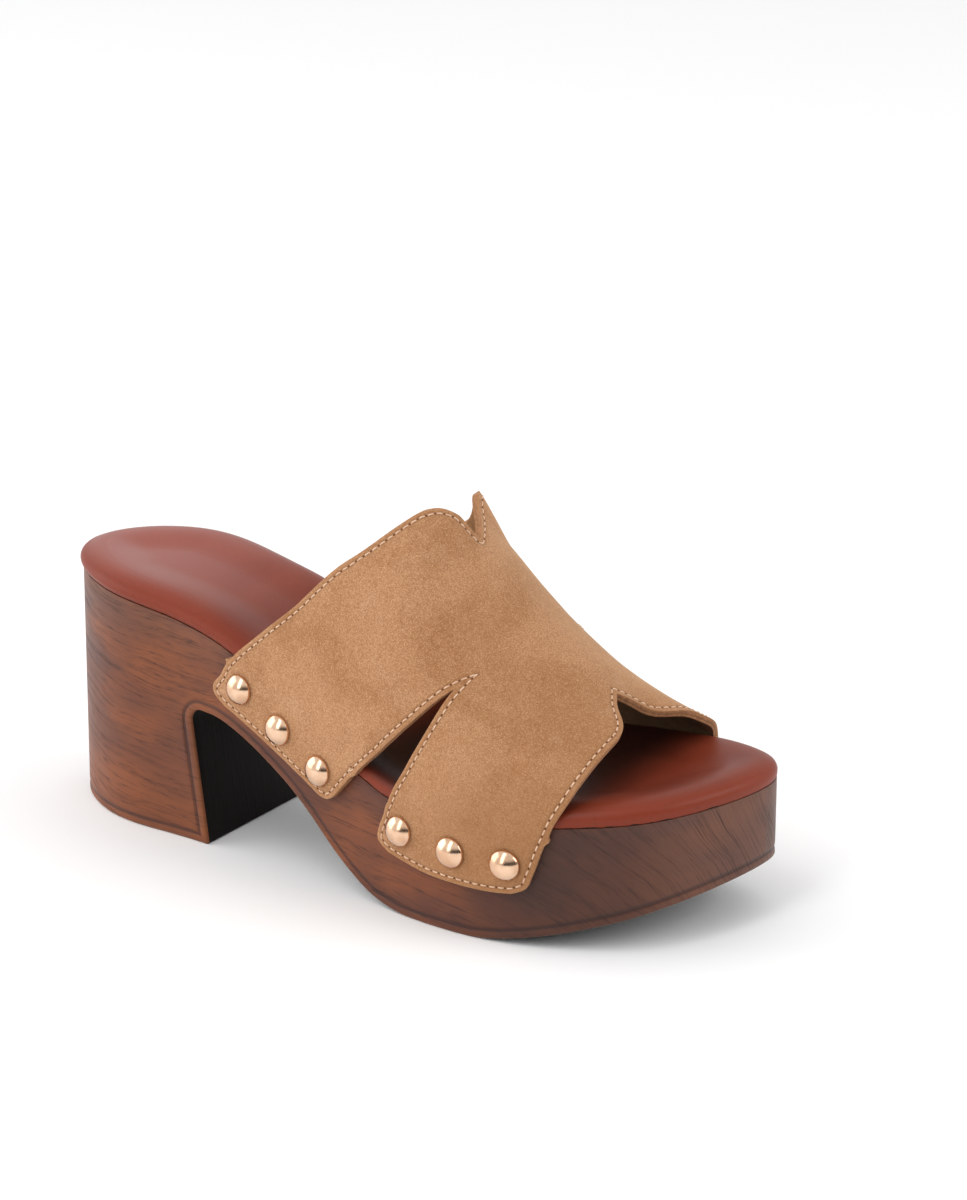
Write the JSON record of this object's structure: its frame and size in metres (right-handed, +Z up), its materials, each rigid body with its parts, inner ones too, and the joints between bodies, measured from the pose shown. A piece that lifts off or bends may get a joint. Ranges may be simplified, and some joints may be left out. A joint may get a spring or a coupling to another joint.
{
  "type": "heeled clog",
  "caption": "Right-foot heeled clog: wood-look platform sole with block heel, padded leather footbed and a split suede vamp studded to the sole sides.",
  "frame": {"origin": "Centre of the shoe's footprint box, on the ground under the sole.", "axes": "+X runs from the heel to the toe, +Y to the wearer's inner side, +Z up."},
  "size_m": [0.2484, 0.1023, 0.1225],
  "materials": {
    "wood_look": "satin moulded wood grain",
    "outsole": "matte",
    "insole_leather": "satin smooth leather",
    "suede": "napped suede",
    "stud": "polished rose gold"
  },
  "bodies": {
    "root": {"sole_unit": "wood_look", "outsole": "outsole", "footbed": "insole_leather", "upper": "suede", "stud_outer_1": "stud", "stud_outer_2": "stud", "stud_outer_3": "stud", "stud_outer_4": "stud", "stud_outer_5": "stud", "stud_outer_6": "stud", "stud_inner_1": "stud", "stud_inner_2": "stud", "stud_inner_3": "stud", "stud_inner_4": "stud", "stud_inner_5": "stud", "stud_inner_6": "stud"}
  },
  "joints": []
}
